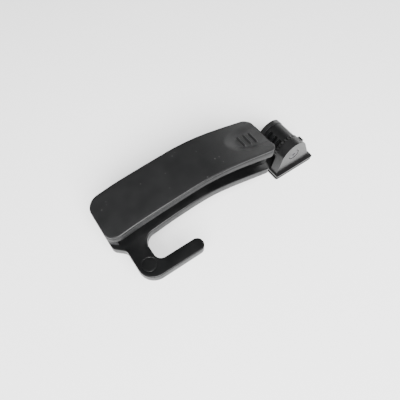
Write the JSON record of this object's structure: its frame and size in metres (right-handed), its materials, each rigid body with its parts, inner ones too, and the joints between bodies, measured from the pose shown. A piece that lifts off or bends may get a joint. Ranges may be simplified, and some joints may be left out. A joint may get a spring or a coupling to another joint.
{
  "type": "clip-on headphone hook",
  "caption": "Adhesive foot with a ratchet hinge carrying a long arched clip: a sprung cover over a plate that ends in a J-shaped headphone hook.",
  "frame": {"origin": "centre of the foot's adhesive face", "axes": "+X from the hook end towards the foot, the hook opens on the -Y side, +Z out of the surface the foot is stuck to"},
  "size_m": [0.1397, 0.0552, 0.0398],
  "materials": {
    "cover_plastic": "fine-grained moulded ABS, black",
    "body_plastic": "smooth moulded ABS, black, slight sheen",
    "ear_plastic": "satin moulded nylon, black",
    "pad_foam": "closed-cell foam tape, black",
    "grip_rubber": "soft rubber, black",
    "dark_steel": "black-oxide screw steel",
    "steel": "zinc-plated steel"
  },
  "bodies": {
    "foot": {"adhesive_pad": "pad_foam", "foot_bracket": "ear_plastic", "hinge_screw": "dark_steel", "captive_nut": "steel", "index_tab": "body_plastic"},
    "knuckle": {"hinge_barrel": "body_plastic", "ratchet_ring": "ear_plastic", "tension_washer": "steel"},
    "arm": {"lower_jaw": "body_plastic", "hook_disc": "body_plastic", "swivel_screw": "dark_steel", "swivel_nut": "steel", "swivel_washer": "body_plastic", "fulcrum_pin": "steel", "torsion_spring": "steel"},
    "lever": {"cover_lever": "cover_plastic", "jaw_grip_pad": "grip_rubber"}
  },
  "joints": [
    {"name": "tilt", "type": "hinge", "parent": "foot", "child": "knuckle", "pos_m": [-0.0031, 0, 0.0157], "axis": [0, 1, 0], "range_deg": [-6, 90]},
    {"name": "swivel", "type": "hinge", "parent": "knuckle", "child": "arm", "pos_m": [-0.02701, 0.0022, 0.02301], "axis": [0.2924, 0, 0.9563], "range_deg": [-15, 15]},
    {"name": "clip", "type": "hinge", "parent": "arm", "child": "lever", "pos_m": [-0.062, 0.0022, 0.0345], "axis": [0, 1, 0], "range_deg": [0, 4.5], "stiffness_Nm_per_rad": 0.4, "springref_deg": -20.05, "deforming": ["torsion_spring"]}
  ]
}
